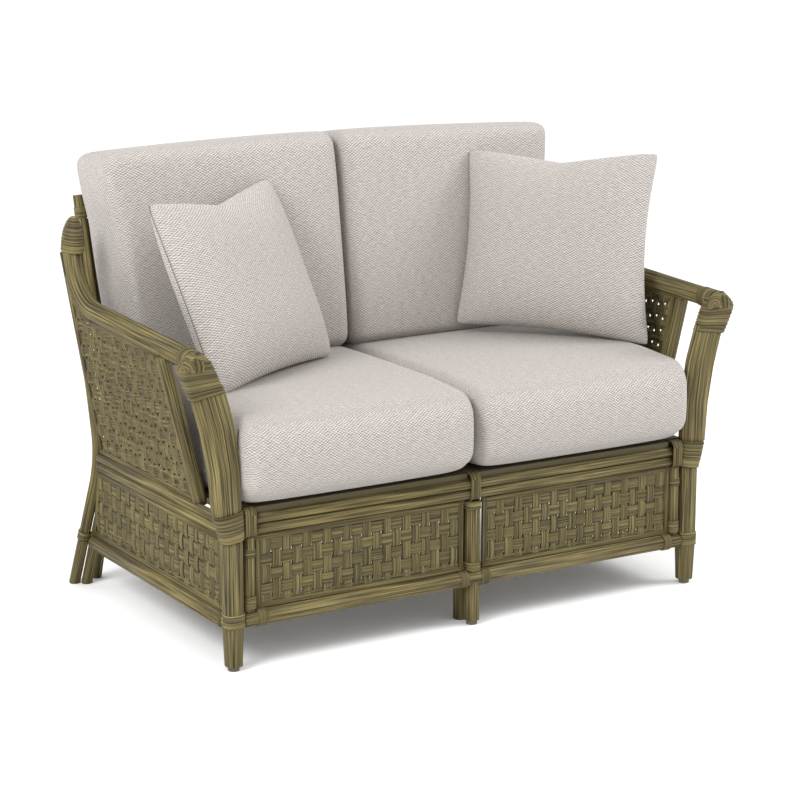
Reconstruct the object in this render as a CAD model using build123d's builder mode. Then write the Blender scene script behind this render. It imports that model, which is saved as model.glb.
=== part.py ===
from build123d import *
import math
import os

# Outdoor loveseat in wrapped rattan poles with flat-strap weave, loose cushions
# and two throw pillows. Millimetres, +Z up, front towards -Y, the origin on the
# ground halfway between the outer front legs, in the plane of the front panels.

# Driving sizes
leg_half_spacing = 581.0
seat_rail_top = 326.0
bottom_rail_height = 105.5
side_plane = leg_half_spacing + 10.0
rear_rail_depth = 645.0
arm_height = 657.0
arm_half_spacing = leg_half_spacing + 71.0
arm_slope = 0.042
back_top_height = 889.0
back_lean = 8.0
deck_thickness = 12.0

# Pole and strap stock
leg_dia = 43.0
leg_foot_dia = 36.0
bottom_rail_dia = 35.0
seat_pole_dia = 22.0
centre_leg_dia = 33.0
inner_post_dia = 26.0
arm_rail_dia = 42.0
arm_frame_dia = 30.0
rear_post_dia = 25.0
back_post_dia = 25.0
rear_rail_dia = 30.0
lobe_overlap = 1.0
touch_gap = 0.2
wrap_thickness = 3.0
cut_overrun = 40.0

# Flat-strap weave
strap_pitch = 23.94
strap_gap = 4.44
band_pitch = 31.04
band_gap = 7.04
strap_thickness = 2.0
weave_gap = 0.2
border_width = 13.0
border_thickness = 9.0

# Glides
glide_dia = 24.0
glide_height = 10.0

os.makedirs("parts", exist_ok=True)


def save(part, name):
    """Label a finished piece and write its STEP file."""
    part.label = name
    export_step(part, f"parts/{name}.step")


def save_pair(part, name):
    """Write the right-hand piece and its mirror image on the left."""
    save(mirror(part, about=Plane.YZ), f"{name}_left")
    save(part, f"{name}_right")


def shaft(start, end, dia):
    """A round bar between two points, used to cope the ends of other pieces."""
    run = Vector(*end) - Vector(*start)
    place = Plane(origin=start, z_dir=run)
    with BuildPart() as bar:
        with BuildSketch(place):
            Circle(dia / 2)
        extrude(amount=run.length)
    return bar.part


def beyond(point, toward, distance):
    """The point a little past one end of a straight run."""
    run = Vector(*point) - Vector(*toward)
    return Vector(*point) + run.normalized() * distance


def bent_pole(points, radius, dia):
    """A round pole along straight runs joined by even bends."""
    with BuildPart() as bar:
        with BuildLine() as path:
            FilletPolyline(*points, radius=radius)
        with BuildSketch(Plane(origin=path.line @ 0, z_dir=path.line % 0)):
            Circle(dia / 2)
        sweep()
    return bar.part


def strips(low, high, first_gap, pitch, gap):
    """Start and end of each strap where narrow gaps at an even pitch part them."""
    edges = [low + weave_gap]
    place = first_gap
    while place < high - gap:
        if place > low + gap:
            edges.append(place - gap / 2)
            edges.append(place + gap / 2)
        place = place + pitch
    edges.append(high - weave_gap)
    return list(zip(edges[::2], edges[1::2]))


def panel_ring(place, outline):
    """The border strips round a woven panel with the given corners."""
    with BuildPart() as ring:
        with BuildSketch(place):
            with BuildLine():
                Polyline(*outline, close=True)
            make_face()
            offset(amount=-border_width, kind=Kind.INTERSECTION, mode=Mode.SUBTRACT)
        extrude(amount=border_thickness / 2, both=True)
    return ring.part


def strap_layer(place, outline, columns, rows):
    """Flat straps that cross as a grid of rectangles, trimmed to the border's opening."""
    with BuildPart() as layer:
        with BuildSketch(place):
            with BuildLine():
                Polyline(*outline, close=True)
            make_face()
            offset(amount=-border_width - weave_gap, kind=Kind.INTERSECTION, mode=Mode.REPLACE)
            with BuildSketch(mode=Mode.PRIVATE) as cover:
                for left, right in columns:
                    for low, high in rows:
                        with Locations(((left + right) / 2, (low + high) / 2)):
                            Rectangle(right - left, high - low)
            add(cover.sketch, mode=Mode.INTERSECT)
        extrude(amount=strap_thickness / 2, both=True)
    return layer.part


def crossed_panel(place, outline, first_column_gap, first_row_gap):
    """A border filled with bands between straps that pass in front and behind by turns."""
    across = [point[0] for point in outline]
    along = [point[1] for point in outline]
    whole_width = [(min(across), max(across))]
    whole_height = [(min(along), max(along))]
    low_side = min(across) + border_width
    high_side = max(across) - border_width
    low_end = min(along) + border_width
    high_end = max(along) - border_width
    columns = strips(low_side, high_side, first_column_gap, strap_pitch, strap_gap)
    rows = strips(low_end, high_end, first_row_gap, band_pitch, band_gap)
    lift = strap_thickness + weave_gap
    with BuildPart() as panel:
        add(panel_ring(place, outline))
        add(strap_layer(place, outline, whole_width, rows))
        add(strap_layer(place.offset(lift), outline, columns[::2], whole_height))
        add(strap_layer(place.offset(-lift), outline, columns[1::2], whole_height))
    return panel.part


def pad_section(place, width, height, bows, corner):
    """A rounded outline whose four sides bow out: bottom, right, top, left."""
    half_width = width / 2
    half_height = height / 2
    corners = [
        (-half_width, -half_height),
        (half_width, -half_height),
        (half_width, half_height),
        (-half_width, half_height),
    ]
    outward = [(0, -1), (1, 0), (0, 1), (-1, 0)]
    with BuildSketch(place) as section:
        with BuildLine():
            for index, bow in enumerate(bows):
                start = Vector(*corners[index])
                end = Vector(*corners[(index + 1) % len(corners)])
                if bow == 0:
                    Line(start, end)
                else:
                    ThreePointArc(start, (start + end) / 2 + Vector(*outward[index]) * bow, end)
        make_face()
        fillet(section.vertices(), corner)
    return section.sketch


# Levels and places that several pieces share
seat_pole_upper = seat_rail_top - seat_pole_dia / 2
seat_pole_lower = seat_pole_upper - seat_pole_dia
seat_rail_bottom = seat_rail_top - 2 * seat_pole_dia
bottom_rail_top = bottom_rail_height + bottom_rail_dia / 2
panel_bottom = bottom_rail_top + touch_gap
panel_top = seat_rail_bottom - touch_gap
leg_inner_face = leg_half_spacing - leg_dia / 2
knot_width = 49.0
knot_inner_face = leg_half_spacing - knot_width / 2
inner_post_place = knot_inner_face - touch_gap - inner_post_dia / 2
rear_rail_height = seat_rail_top - rear_rail_dia / 2

# Front legs: a bundle of four poles, a little thinner at the foot
knot_height = 58.0
knot_bottom = 276.0
leg_taper_height = 84.0
leg_lobe_share = 0.51
leg_core_share = 0.25


def leg_section(height, dia):
    lobe = dia * leg_lobe_share
    with BuildSketch(Plane.XY.offset(height)) as section:
        with Locations((leg_half_spacing, 0)):
            with GridLocations(dia - lobe, dia - lobe, 2, 2):
                Circle(lobe / 2)
            Circle(dia * leg_core_share)
    return section.sketch


with BuildPart() as front_leg:
    loft([leg_section(glide_height, leg_foot_dia), leg_section(glide_height + leg_taper_height, leg_dia)])
    add(leg_section(glide_height + leg_taper_height, leg_dia))
    extrude(amount=knot_bottom - glide_height - leg_taper_height)
save_pair(front_leg.part, "front_leg")

# Knots: the wrapped collars where leg, seat rails and arm upright meet
knot_top_width = 66.0
knot_lean = (knot_top_width - knot_width) / 2
knot_depth = 47.0
knot_round = 14.0
with BuildPart() as post_knot:
    with BuildSketch(Plane.XY.offset(knot_bottom)):
        with Locations((leg_half_spacing, 0)):
            RectangleRounded(knot_width, knot_depth, knot_round)
    with BuildSketch(Plane.XY.offset(knot_bottom + knot_height)):
        with Locations((leg_half_spacing + knot_lean, 0)):
            RectangleRounded(knot_top_width, knot_depth - wrap_thickness, knot_round)
    loft()
save_pair(post_knot.part, "post_knot")

# Arm uprights: four poles that fan out from the knot to the arm cap
upright_bottom = knot_bottom + knot_height
upright_height = 243.0
fan_levels_share = (0.0, 0.35, 0.7, 1.0)
fan_shift = (11.0, 15.0, 27.5, 48.0)
fan_width = (64.0, 72.0, 79.0, 88.0)
fan_depth = (38.0, 33.0, 28.0, 24.0)
fan_poles = 4
with BuildPart() as arm_upright:
    for level, shift, width, depth in zip(fan_levels_share, fan_shift, fan_width, fan_depth):
        with BuildSketch(Plane.XY.offset(upright_bottom + level * upright_height)):
            spread = (width - seat_pole_dia) / (fan_poles - 1)
            with Locations((leg_half_spacing + shift, 0)):
                with GridLocations(spread, 0, fan_poles, 1):
                    Ellipse(seat_pole_dia / 2, depth / 2)
    loft(ruled=True)
save_pair(arm_upright.part, "arm_upright")

# Front arm caps: the knuckle that the peel wraps round the upright and the rail end
cap_bottom = upright_bottom + upright_height
cap_front = -22.0
cap_block_depth = 42.0
cap_sleeve_depth = 42.0
cap_corners = (
    (4.0, 0.0),
    (92.0, 0.0),
    (112.0, 39.0),
    (116.0, 63.0),
    (99.0, 82.0),
    (78.0, 92.0),
    (57.0, 91.0),
    (39.0, 73.0),
)
cap_round = 9.0
cap_edge = 5.0
boss_place = (80.0, 61.0)
boss_dia = 38.0
boss_height = 3.0
rail_start = cap_front + cap_block_depth + cap_sleeve_depth
cap_plane = Plane.XZ.offset(-cap_front).shift_origin((leg_half_spacing, cap_front, cap_bottom))
with BuildPart() as front_arm_cap:
    with BuildSketch(cap_plane) as cap_outline:
        with BuildLine():
            Polyline(*cap_corners, close=True)
        make_face()
        fillet(cap_outline.vertices().filter_by(lambda corner: corner.Z > cap_bottom), cap_round)
    extrude(amount=-cap_block_depth)
    chamfer(front_arm_cap.faces().sort_by(Axis.Y)[0].edges(), cap_edge)
    with BuildSketch(cap_plane):
        with Locations(boss_place):
            Circle(boss_dia / 2)
    extrude(amount=boss_height)
    add(
        shaft(
            (arm_half_spacing, 0, arm_height - arm_slope * rail_start),
            (arm_half_spacing, rail_start + cut_overrun, arm_height + arm_slope * cut_overrun),
            arm_rail_dia + 2 * wrap_thickness,
        )
    )
    split(bisect_by=Plane.XZ.offset(-rail_start), keep=Keep.TOP)
save_pair(front_arm_cap.part, "front_arm_cap")

# Arm rails: a thick bundle that runs back from the cap and turns up into the wing
rail_turn_depth = 583.0
rail_turn_height = arm_height + arm_slope * (rail_turn_depth - rail_start)
wing_setback = 13.0
wing_rise = 111.0
wing_turn_share = 1.12
wing_depth = rail_turn_depth + wing_setback
wing_height = rail_turn_height + wing_rise
wing_turn_radius = wing_turn_share * wing_rise
arm_path = (
    (arm_half_spacing, 0, arm_height - arm_slope * rail_start),
    (arm_half_spacing, rail_turn_depth, rail_turn_height),
    (arm_half_spacing, wing_depth, wing_height),
)
arm_rail_cut = bent_pole(arm_path, wing_turn_radius, arm_rail_dia + 2 * touch_gap)
with BuildPart() as arm_rail:
    add(bent_pole(arm_path, wing_turn_radius, arm_rail_dia))
    split(bisect_by=Plane.XZ.offset(-rail_start), keep=Keep.BOTTOM)
save_pair(arm_rail.part, "arm_rail")

# Rear posts: they splay out to the floor and flare out beside the wing under its cap
rear_foot = (leg_half_spacing + 39.0, rear_rail_depth + 77.0, 0.0)
rear_knee = (leg_half_spacing + 6.0, rear_rail_depth - 13.0, 310.0)
rear_waist = (leg_half_spacing + 25.0, rear_rail_depth - 16.0, 490.0)
rear_top = (arm_half_spacing + 3.0, wing_depth + 34.5, wing_height)
rear_bends = (400.0, 700.0)
wing_run = Vector(*arm_path[2]) - Vector(*arm_path[1])
wing_end = Plane(origin=arm_path[2], z_dir=wing_run, x_dir=(1, 0, 0))
rear_path = (
    beyond(rear_foot, rear_knee, cut_overrun),
    rear_knee,
    rear_waist,
    beyond(rear_top, rear_waist, cut_overrun),
)
rear_post_cut = bent_pole(rear_path, rear_bends, rear_post_dia + 2 * touch_gap)
with BuildPart() as rear_post:
    add(bent_pole(rear_path, rear_bends, rear_post_dia))
    split(bisect_by=Plane.XY, keep=Keep.TOP)
    split(bisect_by=wing_end, keep=Keep.BOTTOM)
save_pair(rear_post.part, "rear_post")

# Rear arm caps: the domed knuckle over the end of the wing and the rear post
dome_levels_share = (0.0, 0.35, 0.6, 0.8, 0.93, 1.0)
dome_size_share = (1.0, 0.95, 0.84, 0.64, 0.4, 0.18)
dome_height = 77.0
dome_width = 46.0
dome_length = 74.0
dome_shift = 12.0
with BuildPart() as rear_arm_cap:
    for level, size in zip(dome_levels_share, dome_size_share):
        with BuildSketch(wing_end.offset(level * dome_height)):
            with Locations((0, dome_shift)):
                Ellipse(size * dome_width / 2, size * dome_length / 2)
    loft(ruled=True)
save_pair(rear_arm_cap.part, "rear_arm_cap")

# Inner rear legs: straight poles beside the rear posts, coped under the seat rail
inner_foot = (leg_half_spacing + 16.0, rear_rail_depth + 61.0, 0.0)
inner_head = (leg_half_spacing - 18.5, rear_rail_depth - 17.0, 300.0)
rear_rail_end = leg_half_spacing - 4.5
rear_rail_cut = shaft(
    (-rear_rail_end, rear_rail_depth, rear_rail_height),
    (rear_rail_end, rear_rail_depth, rear_rail_height),
    rear_rail_dia + 2 * touch_gap,
)
inner_start = beyond(inner_foot, inner_head, cut_overrun)
inner_leg_cut = shaft(inner_start, inner_head, rear_post_dia + 2 * touch_gap)
with BuildPart() as rear_leg_inner:
    add(shaft(inner_start, inner_head, rear_post_dia))
    split(bisect_by=Plane.XY, keep=Keep.TOP)
    add(rear_rail_cut, mode=Mode.SUBTRACT)
save_pair(rear_leg_inner.part, "rear_leg_inner")

# Rear rails
with BuildPart() as rear_seat_rail:
    with BuildSketch(Plane.YZ):
        with Locations((rear_rail_depth, rear_rail_height)):
            Circle(rear_rail_dia / 2)
    extrude(amount=rear_rail_end, both=True)
save(rear_seat_rail.part, "rear_seat_rail")

rear_bottom_depth = rear_rail_depth + 32.0
rear_bottom_half = leg_half_spacing - 8.8
with BuildPart() as rear_bottom_rail:
    with BuildSketch(Plane.YZ):
        with Locations((rear_bottom_depth, bottom_rail_height)):
            Circle(rear_rail_dia / 2)
    extrude(amount=rear_bottom_half, both=True)
    add(inner_leg_cut, mode=Mode.SUBTRACT)
    add(mirror(inner_leg_cut, about=Plane.YZ), mode=Mode.SUBTRACT)
save(rear_bottom_rail.part, "rear_bottom_rail")

# Side rails: twin poles at the seat, one thick pole below
twin_dia = seat_pole_dia + lobe_overlap / 2
twin_spacing = seat_pole_dia - lobe_overlap / 2
twin_middle = seat_rail_top - seat_pole_dia
side_rail_start = knot_depth / 2 + touch_gap
side_rail_end = rear_rail_depth - 5.0
side_bottom_start = leg_dia / 2 + touch_gap
side_bottom_end = rear_rail_depth + 20.0


def twin_poles(dia):
    """The two poles of a side seat rail, one above the other."""
    with BuildPart() as poles:
        with BuildSketch(Plane.XZ.offset(-side_rail_start)):
            with Locations((side_plane, twin_middle)):
                with GridLocations(0, twin_spacing, 1, 2):
                    Circle(dia / 2)
        extrude(amount=side_rail_start - side_rail_end)
    return poles.part


with BuildPart() as side_seat_rail:
    add(twin_poles(twin_dia))
    add(rear_post_cut, mode=Mode.SUBTRACT)
save_pair(side_seat_rail.part.solids().sort_by(SortBy.VOLUME)[-1], "side_seat_rail")

with BuildPart() as side_bottom_rail:
    with BuildSketch(Plane.XZ.offset(-side_bottom_start)):
        with Locations((side_plane, bottom_rail_height)):
            Circle(bottom_rail_dia / 2)
    extrude(amount=side_bottom_start - side_bottom_end)
    add(inner_leg_cut, mode=Mode.SUBTRACT)
    add(rear_post_cut, mode=Mode.SUBTRACT)
save_pair(side_bottom_rail.part.solids().sort_by(SortBy.VOLUME)[-1], "side_bottom_rail")

# Side panels
side_panel_front = side_rail_start
side_panel_rear_low = rear_rail_depth + 12.0
side_panel_rear_high = rear_rail_depth - 19.0
side_first_gap = side_panel_front + 34.36
front_first_row_gap = 146.88
side_outline = (
    (side_panel_front, panel_bottom),
    (side_panel_rear_low, panel_bottom),
    (side_panel_rear_high, panel_top),
    (side_panel_front, panel_top),
)
side_panel = crossed_panel(Plane.YZ.offset(side_plane), side_outline, side_first_gap, front_first_row_gap)
save_pair(side_panel, "side_panel")

# Front seat rails and bottom rail
front_rail_end = knot_inner_face - touch_gap


def front_pole(height, dia, half_length):
    """A pole that runs straight across the front."""
    with BuildPart() as bar:
        with BuildSketch(Plane.YZ):
            with Locations((0, height)):
                Circle(dia / 2)
        extrude(amount=half_length, both=True)
    return bar.part


save(front_pole(seat_pole_upper, seat_pole_dia, front_rail_end), "front_seat_rail_upper")
save(front_pole(seat_pole_lower, seat_pole_dia, front_rail_end), "front_seat_rail_lower")
save(front_pole(bottom_rail_height, bottom_rail_dia, leg_inner_face - touch_gap), "front_bottom_rail")

# Saddles: peel wrapped over the two seat poles above each post
saddle_wall = 3.0
saddle_rise = 14.0
saddle_round = 9.0
corner_saddle_width = 2 * (front_rail_end - inner_post_place)
centre_saddle_width = 23.0
saddle_bottom = seat_rail_bottom - saddle_wall
saddle_top = seat_rail_top + saddle_rise
saddle_half_depth = seat_pole_dia / 2 + saddle_wall
saddle_middle = (saddle_bottom + saddle_top) / 2


def saddle(centre, width):
    """A band closed round both seat poles."""
    with BuildPart() as band:
        with BuildSketch(Plane.YZ.offset(centre - width / 2)):
            with Locations((0, saddle_middle)):
                RectangleRounded(2 * saddle_half_depth, saddle_top - saddle_bottom, saddle_round)
            with Locations((0, seat_pole_lower), (0, seat_pole_upper)):
                Circle(seat_pole_dia / 2 + touch_gap, mode=Mode.SUBTRACT)
        extrude(amount=width)
    return band.part


save_pair(saddle(inner_post_place, corner_saddle_width), "corner_saddle")
save(saddle(0, centre_saddle_width), "centre_saddle")

# Posts between the rails at the front, with ring bands of peel
post_top = saddle_bottom - touch_gap
post_ring_height = 14.0
post_ring_rise = 1.0
inner_ring_places = (152.0, 240.0)
centre_ring_places = (152.0, 268.0)


def ringed_post(place, dia, ring_places):
    """An upright pole coped on the bottom rail with two bands wrapped round it."""
    rail_cut = front_pole(bottom_rail_height, bottom_rail_dia + 2 * touch_gap, leg_half_spacing)
    with BuildPart() as post:
        with BuildSketch(Plane.XY.offset(bottom_rail_height)):
            with Locations((place, 0)):
                Circle(dia / 2 - post_ring_rise)
        extrude(amount=post_top - bottom_rail_height)
        for height in ring_places:
            with BuildSketch(Plane.XY.offset(height - post_ring_height / 2)):
                with Locations((place, 0)):
                    Circle(dia / 2)
            extrude(amount=post_ring_height)
        add(rail_cut, mode=Mode.SUBTRACT)
    return post.part


save_pair(ringed_post(inner_post_place, inner_post_dia, inner_ring_places), "inner_post")
save(ringed_post(0, centre_leg_dia, centre_ring_places), "centre_post")

# Centre legs
centre_rear_leg_depth = 45.0
bearer_start = seat_pole_dia / 2
bottom_rail_cut = front_pole(bottom_rail_height, bottom_rail_dia + 2 * touch_gap, leg_half_spacing)
with BuildPart() as centre_leg_front:
    with BuildSketch(Plane.XY.offset(glide_height)):
        Circle(centre_leg_dia / 2)
    extrude(amount=bottom_rail_height - glide_height)
    add(bottom_rail_cut, mode=Mode.SUBTRACT)
save(centre_leg_front.part, "centre_leg_front")

bearer_cut = shaft(
    (0, bearer_start, seat_pole_upper),
    (0, rear_rail_depth, seat_pole_upper),
    seat_pole_dia + 2 * touch_gap,
)
with BuildPart() as centre_leg_rear:
    with BuildSketch(Plane.XY):
        with Locations((0, centre_rear_leg_depth)):
            Circle(centre_leg_dia / 2)
    extrude(amount=seat_pole_upper)
    add(bearer_cut, mode=Mode.SUBTRACT)
save(centre_leg_rear.part, "centre_leg_rear")

# Centre bearer: the pole under the middle of the seat, from front rail to rear rail
with BuildPart() as centre_bearer:
    with BuildSketch(Plane.XZ):
        with Locations((0, seat_pole_upper)):
            Circle(seat_pole_dia / 2)
    extrude(amount=-rear_rail_depth)
    split(bisect_by=Plane.XZ.offset(-saddle_half_depth - touch_gap), keep=Keep.BOTTOM)
    add(rear_rail_cut, mode=Mode.SUBTRACT)
save(centre_bearer.part, "centre_bearer")

# Bands of peel round the bottom rail, beside the centre post and at the corners
rail_band_width = 20.0
rail_band_wall = 2.5
centre_band_place = centre_leg_dia / 2 + touch_gap + rail_band_width / 2
corner_band_place = inner_post_place - inner_post_dia / 2 - rail_band_width / 2
panel_floor = Plane.XY.offset(bottom_rail_top)


def rail_band(place):
    """A band round the bottom rail, open on top where the panel stands on the rail."""
    with BuildPart() as band:
        with BuildSketch(Plane.YZ.offset(place - rail_band_width / 2)):
            with Locations((0, bottom_rail_height)):
                Circle(bottom_rail_dia / 2 + rail_band_wall)
                Circle(bottom_rail_dia / 2 + touch_gap, mode=Mode.SUBTRACT)
        extrude(amount=rail_band_width)
        split(bisect_by=panel_floor, keep=Keep.BOTTOM)
    return band.part


with BuildPart() as centre_bottom_wrap:
    add(rail_band(centre_band_place))
    add(rail_band(-centre_band_place))
save(centre_bottom_wrap.part, "centre_bottom_wrap")
save_pair(rail_band(corner_band_place), "corner_bottom_wrap")

# Front panels: straps woven over and under the bands
panel_standoff = 7.5
front_panel_inner = centre_leg_dia / 2 + panel_standoff
front_panel_outer = inner_post_place - inner_post_dia / 2 - touch_gap
front_first_gap = front_panel_inner + 35.2
wave_lead = 0.8
front_outline = (
    (front_panel_inner, panel_bottom),
    (front_panel_outer, panel_bottom),
    (front_panel_outer, panel_top),
    (front_panel_inner, panel_top),
)
front_rows = strips(
    panel_bottom + border_width, panel_top - border_width, front_first_row_gap, band_pitch, band_gap
)
front_columns = strips(
    front_panel_inner + border_width, front_panel_outer - border_width, front_first_gap, strap_pitch, strap_gap
)


def woven_strap(start, end, side):
    """One upright strap that passes in front of a band, then behind the next."""
    lift = strap_thickness + weave_gap
    low_end = front_rows[0][0]
    high_end = front_rows[-1][1]
    middle = []
    for index, (low, high) in enumerate(front_rows):
        shift = side * lift * (-1) ** index
        middle.append((shift, max(low - wave_lead, low_end)))
        middle.append((shift, min(high + wave_lead, high_end)))
    front_face = [(shift - strap_thickness / 2, height) for shift, height in middle]
    rear_face = [(shift + strap_thickness / 2, height) for shift, height in reversed(middle)]
    with BuildPart() as strap:
        with BuildSketch(Plane.YZ.offset(start)):
            with BuildLine():
                Polyline(*front_face, *rear_face, close=True)
            make_face()
        extrude(amount=end - start)
    return strap.part


with BuildPart() as front_panel:
    add(panel_ring(Plane.XZ, front_outline))
    add(strap_layer(Plane.XZ, front_outline, [(front_panel_inner, front_panel_outer)], front_rows))
    for index, (start, end) in enumerate(front_columns):
        add(woven_strap(start, end, (-1) ** index))
save_pair(front_panel.part, "front_panel")

# Arm frames: leaning poles from the side seat rails up to the arm rails
stile_lean = 13.9
stile_foot_place = leg_half_spacing + 2.5
stile_depth = 134.0
stile_top_height = 649.0
stile_reach = math.tan(math.radians(stile_lean))
stile_foot = (stile_foot_place - stile_reach * seat_pole_dia, stile_depth, seat_rail_top - seat_pole_dia)
stile_top_place = stile_foot_place + stile_reach * (stile_top_height - seat_rail_top)
stile_head = (stile_top_place, stile_depth, stile_top_height)
with BuildPart() as arm_frame:
    add(shaft(stile_foot, stile_head, arm_frame_dia))
    add(twin_poles(twin_dia + 2 * touch_gap), mode=Mode.SUBTRACT)
    add(arm_rail_cut, mode=Mode.SUBTRACT)
    split(bisect_by=Plane.XY.offset(seat_pole_upper), keep=Keep.TOP)
save_pair(arm_frame.part.solids().sort_by(SortBy.VOLUME)[-1], "arm_frame")

# Arm panels: the woven fill between seat rail, arm rail and rear post
arm_panel_lean = 10.4
arm_panel_front = stile_depth + arm_frame_dia / 2 + touch_gap
arm_panel_rear_low = rear_rail_depth - 31.0
arm_panel_rear_high = rail_turn_depth + 23.0
arm_panel_bend_depth = rail_turn_depth - 72.0
arm_panel_shoulder_depth = rail_turn_depth - 4.0
arm_panel_front_rise = 317.8
arm_panel_bend_rise = 331.0
arm_panel_shoulder_rise = 370.0
arm_panel_rear_rise = 416.0
arm_first_gap = 152.0
arm_first_row_gap = 44.0
arm_panel_plane = Plane(
    origin=(side_plane, 0, seat_rail_top + touch_gap),
    x_dir=(0, 1, 0),
    z_dir=(math.cos(math.radians(arm_panel_lean)), 0, -math.sin(math.radians(arm_panel_lean))),
)
arm_outline = (
    (arm_panel_front, touch_gap),
    (arm_panel_rear_low, touch_gap),
    (arm_panel_rear_high, arm_panel_rear_rise),
    (arm_panel_shoulder_depth, arm_panel_shoulder_rise),
    (arm_panel_bend_depth, arm_panel_bend_rise),
    (arm_panel_front, arm_panel_front_rise),
)
save_pair(crossed_panel(arm_panel_plane, arm_outline, arm_first_gap, arm_first_row_gap), "arm_panel")

# Back posts: poles that splay to the floor below the seat and recline above it
recline = math.tan(math.radians(back_lean))
back_axis_depth = rear_rail_depth + rear_rail_dia / 2 + back_post_dia / 2 + touch_gap
back_bend_radius = 300.0
back_foot_depth = rear_rail_depth + 91.0
back_foot_place = leg_half_spacing - 21.0
back_knee_place = leg_half_spacing - 43.0
back_top_place = leg_half_spacing - 14.0
back_top_depth = back_axis_depth + recline * (back_top_height - rear_rail_height)
splay = math.atan2(back_foot_depth - back_axis_depth, rear_rail_height)
half_turn = (splay + math.radians(back_lean)) / 2
knee_setback = back_bend_radius * (1 / math.cos(half_turn) - 1)
back_knee_depth = back_axis_depth - knee_setback
top_rail_height = back_top_height - back_post_dia / 2
top_rail_depth = back_axis_depth + recline * (top_rail_height - rear_rail_height)


def back_path(foot_place, knee_place, top_place):
    """The middle line of a back pole, run on past both ends for trimming."""
    foot = (foot_place, back_foot_depth, 0)
    knee = (knee_place, back_knee_depth, rear_rail_height)
    top = (top_place, back_top_depth, back_top_height)
    return beyond(foot, knee, cut_overrun), knee, beyond(top, knee, cut_overrun)


back_post_path = back_path(back_foot_place, back_knee_place, back_top_place)
back_post_cut = bent_pole(back_post_path, back_bend_radius, back_post_dia + 2 * touch_gap)
with BuildPart() as back_post:
    add(bent_pole(back_post_path, back_bend_radius, back_post_dia))
    split(bisect_by=Plane.XY, keep=Keep.TOP)
    split(bisect_by=Plane.XY.offset(back_top_height), keep=Keep.BOTTOM)
save_pair(back_post.part, "back_post")

top_rail_half = back_top_place - 11.0
with BuildPart() as back_top_rail:
    with BuildSketch(Plane.YZ):
        with Locations((top_rail_depth, top_rail_height)):
            Circle(rear_rail_dia / 2)
    extrude(amount=top_rail_half, both=True)
    add(back_post_cut, mode=Mode.SUBTRACT)
    add(mirror(back_post_cut, about=Plane.YZ), mode=Mode.SUBTRACT)
save(back_top_rail.part, "back_top_rail")

top_rail_cut = shaft(
    (-top_rail_half, top_rail_depth, top_rail_height),
    (top_rail_half, top_rail_depth, top_rail_height),
    rear_rail_dia + 2 * touch_gap,
)
rear_bottom_cut = shaft(
    (-rear_bottom_half, rear_bottom_depth, bottom_rail_height),
    (rear_bottom_half, rear_bottom_depth, bottom_rail_height),
    rear_rail_dia + 2 * touch_gap,
)
with BuildPart() as back_centre_post:
    add(bent_pole(back_path(0, 0, 0), back_bend_radius, back_post_dia))
    split(bisect_by=Plane.XY, keep=Keep.TOP)
    split(bisect_by=Plane.XY.offset(top_rail_height), keep=Keep.BOTTOM)
    add(top_rail_cut, mode=Mode.SUBTRACT)
    add(rear_bottom_cut, mode=Mode.SUBTRACT)
save(back_centre_post.part, "back_centre_post")

# Back panels
back_panel_low = 30.0
back_panel_high = 530.0
back_panel_outer_low = back_knee_place - 16.0
back_panel_outer_high = back_top_place - 22.0
back_panel_inner = back_post_dia / 2 + touch_gap
back_first_gap = 49.0
back_first_row_gap = 75.0
back_plane = Plane(
    origin=(0, back_axis_depth, rear_rail_height),
    x_dir=(1, 0, 0),
    z_dir=(0, -math.cos(math.radians(back_lean)), math.sin(math.radians(back_lean))),
)
back_outline = (
    (back_panel_inner, back_panel_low),
    (back_panel_outer_low, back_panel_low),
    (back_panel_outer_high, back_panel_high),
    (back_panel_inner, back_panel_high),
)
save_pair(crossed_panel(back_plane, back_outline, back_first_gap, back_first_row_gap), "back_panel")

# Seat deck
deck_half_width = leg_half_spacing - 3.0
deck_front = 24.0
deck_rear = rear_rail_depth + 10.0
stile_notch = arm_frame_dia + 4.0
tongue_front = 1.0
tongue_end = inner_post_place - corner_saddle_width / 2 - wrap_thickness
deck_level = seat_rail_top + touch_gap
with BuildPart() as seat_deck:
    with BuildSketch(Plane.XY.offset(deck_level)):
        with Locations((0, (deck_front + deck_rear) / 2)):
            Rectangle(2 * deck_half_width, deck_rear - deck_front)
        with Locations((0, (tongue_front + deck_front) / 2)):
            Rectangle(2 * tongue_end, deck_front - tongue_front)
        with Locations((0, tongue_front)):
            Rectangle(
                centre_saddle_width + wrap_thickness, 2 * deck_front - wrap_thickness, mode=Mode.SUBTRACT
            )
        with Locations((-stile_foot_place, stile_depth), (stile_foot_place, stile_depth)):
            Rectangle(stile_notch, stile_notch, mode=Mode.SUBTRACT)
    extrude(amount=deck_thickness)
save(seat_deck.part, "seat_deck")
deck_top = deck_level + deck_thickness

# Glides under the front and centre legs
with BuildPart() as leg_glides:
    with BuildSketch(Plane.XY):
        with Locations((-leg_half_spacing, 0), (0, 0), (leg_half_spacing, 0)):
            Circle(glide_dia / 2)
    extrude(amount=glide_height)
save(leg_glides.part, "leg_glides")

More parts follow.
